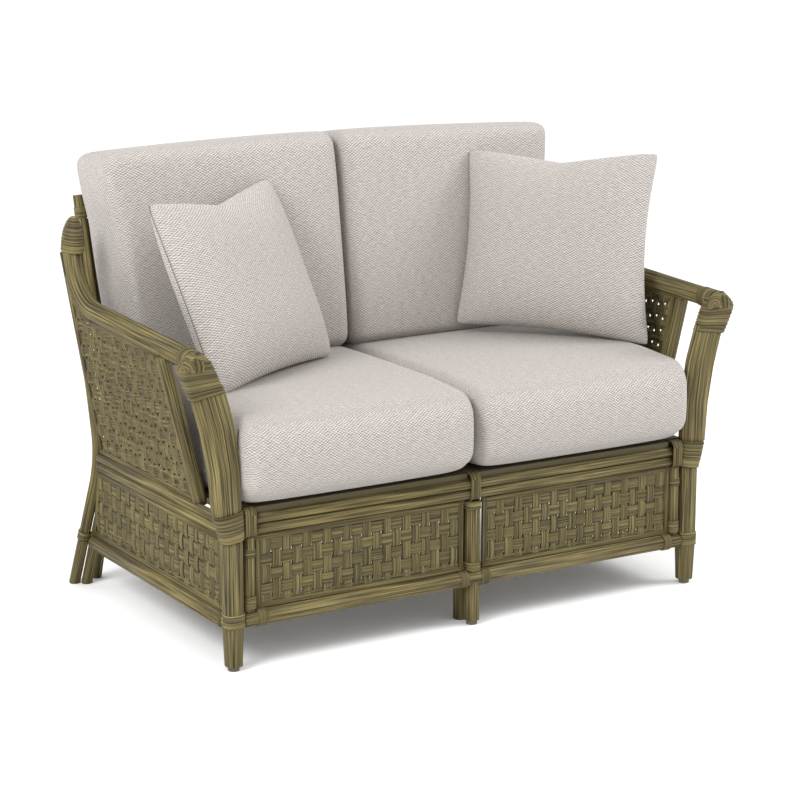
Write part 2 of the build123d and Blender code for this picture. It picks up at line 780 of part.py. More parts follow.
# Seat cushions
seat_inner = 3.0
seat_outer = leg_half_spacing - 22.5
seat_front = -30.0
seat_rear = rear_rail_depth - 5.0
seat_thickness = 182.0
seat_crown = 9.0
seat_nose_bow = 10.0
seat_corner = 46.0
seat_stations_share = (0.0, 0.025, 0.09, 0.5, 0.91, 0.975, 1.0)
seat_inset = (24.0, 9.0, 2.0, 0.0, 2.0, 9.0, 24.0)
cushion_rest = 0.3
seat_sections = []
for share, inset in zip(seat_stations_share, seat_inset):
    width = seat_rear - seat_front - 2 * inset
    height = seat_thickness - 2 * inset
    place = Plane(
        origin=(
            seat_inner + share * (seat_outer - seat_inner),
            (seat_front + seat_rear) / 2,
            deck_top + cushion_rest + seat_thickness / 2,
        ),
        x_dir=(0, 1, 0),
        z_dir=(1, 0, 0),
    )
    bows = (0, seat_nose_bow / 2, seat_crown, seat_nose_bow)
    seat_sections.append(pad_section(place, width - 2 * seat_nose_bow, height, bows, seat_corner - inset / 2))
save_pair(Part() + loft(seat_sections, ruled=True), "seat_cushion")
seat_top = deck_top + cushion_rest + seat_thickness

# Back cushions
back_inner = 3.0
back_outer = leg_half_spacing - 11.0
back_flare = 8.3
back_thickness = 180.0
back_height = 474.0
back_bow = 9.0
back_corner = 52.0
back_rest_gap = 6.6
back_lift = -10.7
back_stations_share = (0.0, 0.03, 0.1, 0.5, 0.9, 0.97, 1.0)
back_inset = (32.0, 13.0, 3.0, 0.0, 3.0, 13.0, 32.0)
back_base = seat_top + back_lift
back_middle_rise = (back_base + back_height / 2 - rear_rail_height) / math.cos(math.radians(back_lean))
back_sections = []
for share, inset in zip(back_stations_share, back_inset):
    forward = rear_rail_dia / 2 + back_rest_gap + back_thickness / 2
    middle = back_plane.offset(forward).from_local_coords(
        Vector(back_inner + share * (back_outer - back_inner), back_middle_rise, 0)
    )
    thick_way = Vector(0, math.cos(math.radians(back_lean)), -math.sin(math.radians(back_lean)))
    up_way = Vector(0, math.sin(math.radians(back_lean)), math.cos(math.radians(back_lean)))
    tilt = math.radians(back_flare) * share
    place = Plane(
        origin=middle,
        x_dir=thick_way,
        z_dir=Vector(1, 0, 0) * math.cos(tilt) - up_way * math.sin(tilt),
    )
    bows = (back_bow / 2, back_bow, back_bow / 2, back_bow)
    back_sections.append(
        pad_section(place, back_thickness - 2 * inset, back_height - 2 * inset, bows, back_corner - inset)
    )
save_pair(Part() + loft(back_sections, ruled=True), "back_cushion")

# Throw pillows: knife-edged squares with drawn-in sides and pointed ears
pillow_stations_share = (-0.5, -0.28, 0.0, 0.28, 0.5)
pillow_height_share = (1.0, 0.97, 0.955, 0.97, 1.0)
pillow_thickness_share = (0.05, 0.78, 1.0, 0.78, 0.05)
pillow_thickness = 144.0


def throw_pillow(centre, along, up, width, height):
    """A pillow whose sections are lenses made of two arcs."""
    side = Vector(*along).normalized()
    face = side.cross(Vector(*up)).normalized()
    rise = face.cross(side)
    sections = []
    for station, tall, thick in zip(pillow_stations_share, pillow_height_share, pillow_thickness_share):
        place = Plane(origin=Vector(*centre) + side * station * width, x_dir=rise, z_dir=side)
        half_height = tall * height / 2
        half_thickness = thick * pillow_thickness / 2
        with BuildSketch(place) as lens:
            with BuildLine():
                ThreePointArc((-half_height, 0), (0, half_thickness), (half_height, 0))
                ThreePointArc((half_height, 0), (0, -half_thickness), (-half_height, 0))
            make_face()
        sections.append(lens.sketch)
    return Part() + loft(sections)


left_pillow_centre = (-360.0, 363.0, 732.4)
left_pillow_along = (369.0, 240.0, 5.0)
left_pillow_up = (-88.0, 140.0, 399.0)
right_pillow_centre = (455.0, 349.4, 738.2)
right_pillow_along = (308.0, -337.0, -6.0)
right_pillow_up = (68.0, 72.0, 407.0)
pillow_tall = 440.0
left_pillow_wide = 440.0
right_pillow_wide = 452.0
left_pillow = throw_pillow(
    left_pillow_centre, left_pillow_along, left_pillow_up, left_pillow_wide, pillow_tall
)
right_pillow = throw_pillow(
    right_pillow_centre, right_pillow_along, right_pillow_up, right_pillow_wide, pillow_tall
)
save(left_pillow, "throw_pillow_left")
save(right_pillow, "throw_pillow_right")
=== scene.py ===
import math

import bpy
import numpy as np
from mathutils import Matrix, Vector


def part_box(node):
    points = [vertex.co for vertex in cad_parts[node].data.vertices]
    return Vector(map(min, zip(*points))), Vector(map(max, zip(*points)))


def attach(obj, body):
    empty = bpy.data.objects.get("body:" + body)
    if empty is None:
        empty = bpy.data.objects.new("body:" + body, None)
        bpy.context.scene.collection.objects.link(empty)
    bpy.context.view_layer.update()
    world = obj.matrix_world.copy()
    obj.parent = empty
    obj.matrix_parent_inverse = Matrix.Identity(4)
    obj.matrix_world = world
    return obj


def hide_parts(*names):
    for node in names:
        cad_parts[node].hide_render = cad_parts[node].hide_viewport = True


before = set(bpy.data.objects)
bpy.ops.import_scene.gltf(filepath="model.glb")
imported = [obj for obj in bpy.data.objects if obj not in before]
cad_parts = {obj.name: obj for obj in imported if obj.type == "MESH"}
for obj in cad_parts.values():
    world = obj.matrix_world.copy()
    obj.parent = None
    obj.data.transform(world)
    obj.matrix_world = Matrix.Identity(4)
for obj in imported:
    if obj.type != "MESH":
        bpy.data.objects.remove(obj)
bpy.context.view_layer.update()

# Sizes are in millimetres, in the part's own frame, until a mesh is made.
MM = 0.001
SIDES = (("left", -1.0), ("right", 1.0))
POLES, WRAPS = "rattan_poles", "peel_wraps"
SOFT_SLOTS = ("cushion_fabric", "pillow_fabric")
ACROSS, BACKWARD, UPWARD = (1, 0, 0), (0, 1, 0), (0, 0, 1)

# Frame sizes
leg_place = 581.0
leg_dia = 43.0
leg_foot_dia = 36.0
glide_height = 10.0
seat_rail_top = 326.0
seat_pole_dia = 22.0
bottom_rail_height = 105.5
bottom_rail_dia = 35.0
side_plane = leg_place + 10.0
inner_post_place = 543.3
centre_leg_dia = 33.0
rear_rail_depth = 645.0
rear_rail_dia = 30.0
arm_rail_dia = 42.0
arm_plane = leg_place + 71.0
stile_dia = 30.0
rear_post_dia = 25.0
back_lean = math.radians(8.0)
strap_pitch = 23.94
band_pitch = 31.04
border_width = 13.0
upper_pole = seat_rail_top - seat_pole_dia / 2
lower_pole = upper_pole - seat_pole_dia
rear_pole = seat_rail_top - rear_rail_dia / 2

# Meshes


def surface(rings, across, along, caps=True):
    """A skin over closed rings of points; across and along give the grain's own coordinates."""
    count = len(rings[0])
    points = [tuple(point) for ring in rings for point in ring]
    faces = []
    uvs = []
    for row, column in np.ndindex(len(rings) - 1, count):
        a = row * count + column
        b = row * count + (column + 1) % count
        faces.append((a, b, b + count, a + count))
        left, right, low, high = across[column], across[column + 1], along[row], along[row + 1]
        uvs += [(left, low), (right, low), (right, high), (left, high)]
    if caps:
        for face in (range(count - 1, -1, -1), range(len(points) - count, len(points))):
            faces.append(tuple(face))
            uvs += [(across[index % count], along[0]) for index in face]
    return mesh_object(points, faces, uvs)


def new_object(data):
    made = bpy.data.objects.new(data.name, data)
    bpy.context.scene.collection.objects.link(made)
    return made


def mesh_object(points, faces, uvs):
    """A smooth mesh object in metres from points in millimetres."""
    mesh = bpy.data.meshes.new("piece")
    mesh.from_pydata([tuple(c * MM for c in point) for point in points], [], faces)
    layer = mesh.uv_layers.new(name="grain")
    layer.data.foreach_set("uv", np.array(uvs, dtype=float).ravel() * MM)
    mesh.polygons.foreach_set("use_smooth", [True] * len(mesh.polygons))
    mesh.update()
    return new_object(mesh)


def join(objects):
    """One object from several."""
    bpy.ops.object.select_all(action="DESELECT")
    for item in objects:
        item.select_set(True)
    bpy.context.view_layer.objects.active = objects[0]
    bpy.ops.object.join()
    return objects[0]


def place(made, node, slot_name, body="frame"):
    """Gives a finished piece its material, its body and the solid it stands for."""
    made.name = f"{node}_dressed"
    marks = [polygon.material_index for polygon in made.data.polygons]
    made.data.materials.clear()
    made.data.materials.append(skins[slot_name])
    if max(marks) > 0:
        # The second slot is painted shade: a dark seam line on cushions and pillows, near-black strap sides
        # elsewhere.
        made.data.materials.append(seam_shade_skin if slot_name in SOFT_SLOTS else strap_side_shade_skin)
    made.data.polygons.foreach_set("material_index", marks)
    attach(made, body)
    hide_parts(node)


def mirrored(made):
    """The left-hand copy of a right-hand piece."""
    twin = new_object(made.data.copy())
    twin.data.transform(Matrix.Scale(-1.0, 4, (1.0, 0.0, 0.0)))
    twin.data.flip_normals()
    return twin


def place_pair(made, node, slot_name):
    """The piece on the right and its mirror image on the left."""
    twin = mirrored(made)
    place(made, f"{node}_right", slot_name)
    place(twin, f"{node}_left", slot_name)


# Paths


def running_lengths(line):
    """Length from the start of a line to each of its points."""
    lengths = [0.0]
    for start, end in zip(line, line[1:]):
        lengths.append(lengths[-1] + math.dist(start, end))
    return lengths


def looked_up(table, mark, column=1):
    """Value in a column of a table at a mark in its first column."""
    return float(np.interp(mark, [row[0] for row in table], [row[column] for row in table]))


def rounded_path(points, radii, arc_steps=10):
    """Straight runs joined by tangent arcs, with one radius for each corner."""
    points = [Vector(point) for point in points]
    line = [points[0]]
    for index in range(1, len(points) - 1):
        corner = points[index]
        before = (corner - points[index - 1]).normalized()
        after = (points[index + 1] - corner).normalized()
        turn = before.angle(after)
        radius = radii[index - 1]
        reach = radius * math.tan(turn / 2)
        normal = (after - before * math.cos(turn)) / math.sin(turn)
        start = corner - before * reach
        centre = start + normal * radius
        for step in range(arc_steps + 1):
            angle = turn * step / arc_steps
            line.append(centre - normal * radius * math.cos(angle) + before * radius * math.sin(angle))
    line.append(points[-1])
    return line


def even_path(line, step):
    """The same line with points at an even spacing."""
    lengths = running_lengths(line)
    count = max(2, round(lengths[-1] / step) + 1)
    marks = np.linspace(0, lengths[-1], count)
    columns = [np.interp(marks, lengths, [point[axis] for point in line]) for axis in range(3)]
    return [Vector(values) for values in zip(*columns)]


def sweep(line, section, side=ACROSS, grain_along=True, caps=True):
    """Runs a section along a line. section(share, length) gives points across and up."""
    line = [Vector(point) for point in line]
    lengths = running_lengths(line)
    rings = []
    normal = Vector(side)
    for index, point in enumerate(line):
        before = line[max(index - 1, 0)]
        after = line[min(index + 1, len(line) - 1)]
        tangent = (after - before).normalized()
        normal = (normal - tangent * normal.dot(tangent)).normalized()
        other = tangent.cross(normal)
        outline = section(lengths[index] / lengths[-1], lengths[index])
        rings.append([point + normal * a + other * b for a, b in outline])
    first = section(0.0, 0.0)
    made = surface(rings, running_lengths(first + first[:1]), lengths, caps)
    if not grain_along:
        turn_grain(made)
    return made


def turn_grain(made):
    """Swaps the grain's two directions, for peel that is wound round a piece."""
    layer = made.data.uv_layers[0]
    flat = np.empty(len(layer.data) * 2)
    layer.data.foreach_get("uv", flat)
    layer.data.foreach_set("uv", flat.reshape(-1, 2)[:, ::-1].ravel())


# Sections

outline_steps = 720
strip_points = 6
strip_roundness = 0.35
deep_groove_share = 2.2
turn_points = 5
sleeve_points = 32


def valley(phase, depth, roundness=0.5):
    """How far the skin dips between two beads; phase runs from 0 to 1 across one bead."""
    return depth * (1 - abs(math.sin(math.pi * phase)) ** roundness)


def rounded_point(angle, half_width, half_depth, power):
    """Point of a rounded outline at an angle; a higher power makes it squarer."""
    c, s = math.cos(angle), math.sin(angle)
    reach = (abs(c / half_width) ** power + abs(s / half_depth) ** power) ** (-1 / power)
    return reach * c, reach * s


def round_section(dia, sides=20):
    angles = [math.tau * k / sides for k in range(sides)]
    outline = [(dia / 2 * math.cos(angle), dia / 2 * math.sin(angle)) for angle in angles]
    return lambda share, length: outline


def bundle_outline(width, depth, strips, groove, power=2.6, deep=()):
    """A rounded outline of flat strips side by side; the grooves numbered in deep go further in."""
    angles = [math.tau * k / outline_steps for k in range(outline_steps)]
    fine = [rounded_point(angle, width / 2, depth / 2, power) for angle in angles]
    fine.append(fine[0])
    lengths = running_lengths(fine)
    marks = np.linspace(0, lengths[-1], strips * strip_points, endpoint=False)
    xs = np.interp(marks, lengths, [p[0] for p in fine])
    ys = np.interp(marks, lengths, [p[1] for p in fine])
    outline = []
    for k, (x, y) in enumerate(zip(xs, ys)):
        phase = (k % strip_points) / strip_points
        nearest = (k + strip_points // 2) // strip_points % strips
        reach_in = groove * (deep_groove_share if nearest in deep else 1.0)
        keep = 1 - valley(phase, reach_in, strip_roundness) / math.hypot(x, y)
        outline.append((x * keep, y * keep))
    return outline


def bundle_section(dia, strips, groove, power=2.6, deep=(), depth=None):
    """The same bundle all along; depth is given where it differs from the width."""
    outline = bundle_outline(dia, depth or dia, strips, groove, power, deep)
    return lambda share, length: outline


def tapered_section(stations, strips, groove, power=2.6):
    """A bundle whose width and depth change along its length."""
    def outline(share, length):
        width, depth = looked_up(stations, share), looked_up(stations, share, 2)
        return bundle_outline(width, depth, strips, groove, power)
    return outline


def wound_sleeve(line, stations, turn, groove=1.0, power=3.0, side=ACROSS):
    """A sleeve of peel wound in even turns; stations give share, width and depth."""
    line = even_path([Vector(point) for point in line], turn / turn_points)

    def outline(share, length):
        inset = valley((length / turn) % 1.0, groove)
        width = looked_up(stations, share) / 2 - inset
        depth = looked_up(stations, share, 2) / 2 - inset
        return [
            rounded_point(math.tau * k / sleeve_points, width, depth, power) for k in range(sleeve_points)
        ]
    return sweep(line, outline, side, grain_along=False)


def wound_band(line, dia, turn, groove=1.0, power=3.0, side=ACROSS):
    """A sleeve of one size."""
    return wound_sleeve(line, ((0, dia, dia), (1, dia, dia)), turn, groove, power, side)


def standing(x, low, high):
    """An upright line in the plane of the front legs."""
    return [(x, 0, low), (x, 0, high)]


# Materials. Lengths inside a material are in metres.

cane_dark = (0.018, 0.014, 0.005)
peel_middle = (0.083, 0.066, 0.024)
cloth_gap, cloth_nub = (0.115, 0.097, 0.085), (0.620, 0.580, 0.545)


def new_material(name, roughness, specular=0.5):
    material = bpy.data.materials.new(name)
    material.use_nodes = True
    tree = material.node_tree
    shader = tree.nodes["Principled BSDF"]
    shader.inputs["Roughness"].default_value = roughness
    shader.inputs["Specular IOR Level"].default_value = specular
    return material, tree, shader


def ramp(tree, tone, stops):
    """Colours that follow a tone."""
    made = tree.nodes.new("ShaderNodeValToRGB")
    elements = made.color_ramp.elements
    while len(elements) > 1:
        elements.remove(elements[-1])
    for index, (position, colour) in enumerate(stops):
        element = elements[0] if index == 0 else elements.new(position)
        element.position = position
        element.color = (*colour, 1.0)
    tree.links.new(tone, made.inputs["Fac"])
    return made.outputs["Color"]


def math_node(tree, operation, *values):
    """A sum on values that are numbers or other nodes' outputs."""
    made = tree.nodes.new("ShaderNodeMath")
    made.operation = operation
    for index, value in enumerate(values):
        if isinstance(value, float):
            made.inputs[index].default_value = value
        else:
            tree.links.new(value, made.inputs[index])
    return made.outputs[0]


def moved_grain(tree, source, factors):
    """The grain's coordinates, shifted by a source times a factor in each direction."""
    coordinates = tree.nodes.new("ShaderNodeUVMap")
    coordinates.uv_map = "grain"
    moved = tree.nodes.new("ShaderNodeVectorMath")
    moved.operation = "MULTIPLY_ADD"
    moved.inputs[1].default_value = (*factors, 0.0)
    tree.links.new(source, moved.inputs[0])
    tree.links.new(coordinates.outputs["UV"], moved.inputs[2])
    return moved.outputs[0]


def stretched_noise(tree, source, across, along, detail, roughness=0.5, distortion=0.0):
    """Noise that is finer in one direction of the grain than in the other."""
    scale = tree.nodes.new("ShaderNodeMapping")
    scale.inputs["Scale"].default_value = (across, along, 1.0)
    tree.links.new(source, scale.inputs["Vector"])
    noise = tree.nodes.new("ShaderNodeTexNoise")
    sockets = {"Scale": 1.0, "Detail": detail, "Roughness": roughness, "Distortion": distortion}
    for name, value in sockets.items():
        noise.inputs[name].default_value = value
    tree.links.new(scale.outputs[0], noise.inputs["Vector"])
    return noise.outputs["Fac"]


def add_relief(tree, shader, height, strength, depth):
    bump = tree.nodes.new("ShaderNodeBump")
    bump.inputs["Strength"].default_value = strength
    bump.inputs["Distance"].default_value = depth
    tree.links.new(height, bump.inputs["Height"])
    tree.links.new(bump.outputs["Normal"], shader.inputs["Normal"])


def grain_material(name, middle, light, streak):
    """Weathered cane: long streaks and fine combed lines that run with the grain."""
    island_shifts = (3.7, 5.3)
    noise_roughness = 0.6
    streak_share, comb_share, patch_share = 0.75, 0.25, 0.55
    material, tree, shader = new_material(name, roughness=0.62, specular=0.3)
    island = tree.nodes.new("ShaderNodeNewGeometry")
    grain = moved_grain(tree, island.outputs["Random Per Island"], island_shifts)

    def noise(across, along, detail, distortion=0.0):
        return stretched_noise(tree, grain, across, along, detail, noise_roughness, distortion)

    wide = noise(streak, along=3.5, detail=3.0, distortion=0.12)
    fine = noise(across=1100.0, along=8.0, detail=2.0)
    patch = noise(across=30.0, along=7.0, detail=2.0)
    streaks = math_node(tree, "MULTIPLY", wide, streak_share)
    tone = math_node(tree, "MULTIPLY_ADD", fine, comb_share, streaks)
    tint = tree.nodes.new("ShaderNodeMix")
    tint.data_type = "RGBA"
    tint.blend_type = "MULTIPLY"
    tint.inputs["Factor"].default_value = patch_share
    tree.links.new(ramp(tree, tone, ((0.38, cane_dark), (0.49, middle), (0.63, light))), tint.inputs["A"])
    patch_stops = ((0.32, (0.62, 0.60, 0.58)), (0.66, (1.18, 1.15, 1.05)))
    tree.links.new(ramp(tree, patch, patch_stops), tint.inputs["B"])
    tree.links.new(tint.outputs["Result"], shader.inputs["Base Color"])
    add_relief(tree, shader, tone, strength=0.7, depth=0.0011)
    return material


def fabric_material(name):
    """A chunky woven cloth: light nubs on a staggered grid with darker gaps."""
    nub_pitch = 0.0092
    row_share = 0.62
    wander_reach = (0.0042, 0.0030)
    nub_low, nub_high = -0.75, 0.85
    nub_share, slub_share = 0.60, 0.52
    gap_share, top_share = 0.05, 0.95
    material, tree, shader = new_material(name, roughness=0.92, specular=0.12)
    coordinates = tree.nodes.new("ShaderNodeUVMap")
    coordinates.uv_map = "grain"
    wander = tree.nodes.new("ShaderNodeTexNoise")
    wander.inputs["Scale"].default_value = 140.0
    wander.inputs["Detail"].default_value = 1.0
    tree.links.new(coordinates.outputs["UV"], wander.inputs["Vector"])
    split = tree.nodes.new("ShaderNodeSeparateXYZ")
    tree.links.new(moved_grain(tree, wander.outputs["Color"], wander_reach), split.inputs[0])

    def wave(source, period):
        turn = math_node(tree, "MULTIPLY", source, math.tau / period)
        return math_node(tree, "COSINE", turn)

    columns = wave(split.outputs["X"], nub_pitch)
    rows = wave(split.outputs["Y"], nub_pitch * row_share)
    height = tree.nodes.new("ShaderNodeMapRange")
    height.inputs["From Min"].default_value = nub_low
    height.inputs["From Max"].default_value = nub_high
    tree.links.new(math_node(tree, "MULTIPLY", columns, rows), height.inputs["Value"])
    slub = stretched_noise(tree, coordinates.outputs["UV"], across=60.0, along=420.0, detail=3.0)
    slubs = math_node(tree, "MULTIPLY", slub, slub_share)
    tone = math_node(tree, "MULTIPLY_ADD", height.outputs["Result"], nub_share, slubs)
    colour = ramp(tree, tone, ((gap_share, cloth_gap), (top_share, cloth_nub)))
    tree.links.new(colour, shader.inputs["Base Color"])
    add_relief(tree, shader, tone, strength=0.6, depth=0.0032)
    shader.inputs["Sheen Weight"].default_value = 0.15
    return material


def plain_material(name, colour, roughness):
    material, tree, shader = new_material(name, roughness)
    shader.inputs["Base Color"].default_value = (*colour, 1.0)
    return material


skins = {
    POLES: grain_material("cane", middle=(0.094, 0.074, 0.027), light=(0.252, 0.210, 0.080), streak=300.0),
    "flat_straps": grain_material("strap", peel_middle, light=(0.197, 0.163, 0.062), streak=340.0),
    WRAPS: grain_material("peel", peel_middle, light=(0.204, 0.169, 0.064), streak=320.0),
}
cloth = fabric_material("cloth")
for soft_slot in SOFT_SLOTS:
    skins[soft_slot] = cloth
dark_board = plain_material("dark board", colour=(0.075, 0.062, 0.026), roughness=0.8)
glide_skin = plain_material("glide", colour=(0.09, 0.08, 0.05), roughness=0.5)
# Near-black painted shade on the straps' sides, standing in for the shadow in the narrow gaps between straps.
strap_side_shade_skin = plain_material("strap side painted shade", colour=(0.020, 0.016, 0.008), roughness=0.9)
# Dark painted shade for seam lines: the cloth there is the same, and the darkness stands for the seam's
# shadow.
seam_shade_skin = plain_material("seam", colour=(0.085, 0.070, 0.060), roughness=0.9)

# Front legs, with a wound band above the foot; a station is a share, a width and a depth
knot_low, knot_high = 276.0, 334.0
leg_full_height, leg_full_share = 94.0, 0.33
leg_band_low, leg_band_high = 92.0, 122.0
band_extra_dia = 3.0
leg_stations = ((0, leg_foot_dia, leg_foot_dia), (leg_full_share, leg_dia, leg_dia), (1, leg_dia, leg_dia))
leg_line = [(leg_place, 0, glide_height), (leg_place, 0, leg_full_height), (leg_place, 0, knot_low)]
leg = sweep(leg_line, tapered_section(leg_stations, strips=12, groove=1.6))
leg_band = wound_band(standing(leg_place, leg_band_low, leg_band_high), leg_dia + band_extra_dia, turn=7.5)
place_pair(join([leg, leg_band]), "front_leg", POLES)

# Knots
knot_shift = 8.5
knot_stations = ((0, 49, 47), (0.5, 58, 47), (1, 66, 44))
knot_line = [(leg_place, 0, knot_low), (leg_place + knot_shift, 0, knot_high)]
place_pair(wound_sleeve(knot_line, knot_stations, turn=7.25, groove=1.3), "post_knot", WRAPS)

# Arm uprights, which shift outwards as they rise
cap_low = 582.0
upright_hidden = 9.0
upright_shifts = ((0, 11), (0.35, 15), (0.7, 28.5), (1, 50))
upright_stations = ((0, 62, 38), (0.35, 69.5, 33), (0.7, 75.5, 28), (1, 74, 25))
upright_rise = cap_low + upright_hidden - knot_high
upright_line = [(leg_place + shift, 0, knot_high + share * upright_rise) for share, shift in upright_shifts]
upright_section = tapered_section(upright_stations, strips=20, groove=1.7, power=3.2)
upright = sweep(even_path(upright_line, step=12.0), upright_section)
place_pair(upright, "arm_upright", POLES)

# Front arm caps: a wound block, a D of peel on its face and a wound sleeve behind it.
# An edge's points are a height above the cap's bottom and a place beyond the leg's middle.
cap_left_edge = ((0, 12), (13, 18), (51, 34), (73, 45), (86, 58), (92, 68))
cap_right_edge = ((0, 88), (20, 97), (55, 111), (64, 109), (78, 97), (92, 82))
cap_height, cap_half_depth, cap_corner = 92.0, 19.0, 9.0
cap_turn, cap_groove = 7.7, 1.5
cap_steps, cap_grain_ring = 84, 20
cap_crown_reach, cap_crown_curve = 7.0, 10.0
cap_foot_inset, cap_foot_reach = 4.5, 45.0
cap_tilt_share, cap_tilt_middle, cap_tilt_reach = 0.15, 50.0, 60.0
peel_width, peel_rise, peel_step = 6.4, 2.4, 2.4
peel_sides, peel_roundness = 8, 0.7
d_radius, d_step, d_count = 20.0, 5.6, 4
d_low, d_drop = 60.0, 2.5
d_height_share = 1.05
d_arc_steps, d_flat_steps = 20, 8
right_d_place = leg_place + 50.0
left_d_place = -leg_place - 106.0
side_peel_step, side_peel_count = 6.2, 3
side_peel_low, side_peel_bend, side_peel_high, side_peel_drop = 55.0, 68.0, 84.0, 4.0
side_peel_out, side_peel_in = 1.0, 3.0
sleeve_low, sleeve_high = 651.5, 654.0
sleeve_end = 46.0
sleeve_stations = ((0, 44, 44), (1, 44.5, 44.5))


def soft_rectangle(left, right, low, high, corner, count=10):
    """A rectangle with rounded corners, as points round its edge."""
    points = []
    middles = ((right - corner, high - corner), (left + corner, high - corner),
               (left + corner, low + corner), (right - corner, low + corner))
    for quarter, (x, y) in enumerate(middles):
        for step in range(count + 1):
            angle = math.pi / 2 * (quarter + step / count)
            points.append((x + corner * math.cos(angle), y + corner * math.sin(angle)))
    return points


def tilted(x, rise):
    """Height of a turn at x; the low turns run square to the leaning upright."""
    fade = max(0.0, 1 - rise / cap_tilt_reach)
    return cap_low + rise - cap_tilt_share * (x - cap_tilt_middle) * fade


def wound_block():
    rises = [cap_height * k / cap_steps for k in range(cap_steps + 1)]
    rings = []
    for rise in rises:
        inset = valley((rise / cap_turn) % 1.0, cap_groove)
        inset += max(0.0, cap_crown_reach - (cap_height - rise)) ** 2 / cap_crown_curve
        thin = cap_foot_inset * max(0.0, 1 - rise / cap_foot_reach)
        half_depth = cap_half_depth - inset - thin
        left, right = looked_up(cap_left_edge, rise), looked_up(cap_right_edge, rise)
        outline = soft_rectangle(left + inset, right - inset, -half_depth, half_depth, cap_corner)
        rings.append([Vector((leg_place + x, y, tilted(x, rise))) for x, y in outline])
    ring = rings[cap_grain_ring]
    made = surface(rings, running_lengths(ring + ring[:1]), rises)
    turn_grain(made)
    return made


def cap_skin(x, rise, side):
    """Point and outward direction on the cap's face; x runs round the outer corner of the left cap."""
    height = cap_low + rise
    edge = -leg_place - looked_up(cap_right_edge, rise)
    past = edge + cap_corner - x
    if side > 0 or past <= 0:
        return Vector((x, -cap_half_depth, height)), Vector((0.0, -1.0, 0.0))
    if past < cap_corner * math.pi / 2:
        angle = past / cap_corner
        away = Vector((-math.sin(angle), -math.cos(angle), 0.0))
        middle = Vector((edge + cap_corner, cap_corner - cap_half_depth, height))
        return middle + away * cap_corner, away
    depth = cap_corner - cap_half_depth + past - cap_corner * math.pi / 2
    return Vector((edge, depth, height)), Vector((-1.0, 0.0, 0.0))


def d_loop(middle, radius):
    """A half ring standing on a flat bottom, in the face's own two directions."""
    line = []
    for k in range(d_arc_steps + 1):
        angle = math.pi * k / d_arc_steps
        line.append((middle + radius * math.cos(angle), d_low + radius * d_height_share * math.sin(angle)))
    for k in range(1, d_flat_steps + 1):
        line.append((middle - radius * (1 - 2 * k / d_flat_steps), d_low - d_drop))
    line.append(line[0])
    return line


def face_sweep(line, side):
    """A peel laid flat on the cap's face along a line."""
    flat = even_path([(x, y, 0.0) for x, y in line], peel_step)
    placed = [cap_skin(point.x, point.y, side) for point in flat]
    rings = []
    for index, (point, outward) in enumerate(placed):
        before = placed[max(index - 1, 0)][0]
        after = placed[min(index + 1, len(placed) - 1)][0]
        beside = (after - before).normalized().cross(outward).normalized()
        ring = []
        for k in range(peel_sides + 1):
            angle = math.pi * k / peel_sides
            aside = peel_width / 2 * math.cos(angle)
            rise = peel_rise * math.sin(angle) ** peel_roundness
            ring.append(point + beside * aside + outward * rise)
        rings.append(ring)
    marks = running_lengths([point for point, outward in placed])
    count = peel_sides + 1
    across = [peel_width * k / count for k in range(count + 1)]
    return surface(rings, across, marks, caps=False)


def cap_face(centre, side):
    """The D and the upright peels on its right."""
    parts = []
    for step in range(d_count):
        parts.append(face_sweep(d_loop(centre, d_radius - d_step * step), side))
    for step in range(side_peel_count):
        x = centre + d_radius + side_peel_step * (step + 1)
        top = side_peel_high - side_peel_drop * step
        line = [(x, side_peel_low), (x + side_peel_out, side_peel_bend), (x - side_peel_in, top)]
        parts.append(face_sweep(line, side))
    return parts


sleeve_line = [(arm_plane, 0, sleeve_low), (arm_plane, sleeve_end, sleeve_high)]
sleeve = wound_sleeve(sleeve_line, sleeve_stations, turn=7.4, groove=1.3, power=2.4)
block = join([wound_block(), sleeve])
left_block = mirrored(block)
place(join([block] + cap_face(right_d_place, 1.0)), "front_arm_cap_right", WRAPS)
place(join([left_block] + cap_face(left_d_place, -1.0)), "front_arm_cap_left", WRAPS)

# Arm rails
rail_hidden = 3.0
rail_front = Vector((arm_plane, sleeve_end - rail_hidden, sleeve_high))
rail_corner = Vector((arm_plane, 583.0, 678.9))
wing_end = Vector((arm_plane, 596.0, 789.9))
rail_line = rounded_path([rail_front, rail_corner, wing_end], radii=[124.3], arc_steps=16)
rail_section = bundle_section(arm_rail_dia, strips=11, groove=1.7, power=2.1, deep=(2, 7))
place_pair(sweep(rail_line, rail_section), "arm_rail", POLES)

# Rear posts, with a wound band low on each
rear_post_corners = [(620, 722, 0), (587, 632, 310), (606, 629, 490), (654.9, 630.4, 785.5)]
rear_post_line = rounded_path(rear_post_corners, radii=(400.0, 700.0))
rear_band_line = [(608.3, 690.0, 110), (606.2, 684.3, 130)]
rear_post = sweep(rear_post_line, bundle_section(rear_post_dia, strips=6, groove=0.8, power=2.1))
rear_band = wound_band(rear_band_line, rear_post_dia + band_extra_dia, turn=6.5)
place_pair(join([rear_post, rear_band]), "rear_post", POLES)

# Rear arm caps: domes whose size follows a table of shares
dome_start = wing_end + Vector((-1.0, 5.0, 0.0))
dome_axis = Vector((-0.04, -0.05, 1.0)).normalized()
dome_height, dome_width, dome_depth = 77.0, 46.0, 68.0
dome_shares = ((0, 1.0), (0.35, 0.96), (0.6, 0.85), (0.8, 0.65), (0.93, 0.41), (1, 0.2))
dome_stations = [(share, dome_width * size, dome_depth * size) for share, size in dome_shares]
dome_line = even_path([dome_start, dome_start + dome_axis * dome_height], step=3.0)
dome = wound_sleeve(dome_line, dome_stations, turn=7.7, groove=1.3, power=2.3)
place_pair(dome, "rear_arm_cap", WRAPS)

# Inner rear legs
inner_leg_line = [(597, 706, 0), (562.7, 628.6, 298)]
place_pair(sweep(inner_leg_line, round_section(rear_post_dia)), "rear_leg_inner", POLES)

# Straight poles; put places one piece or a pair


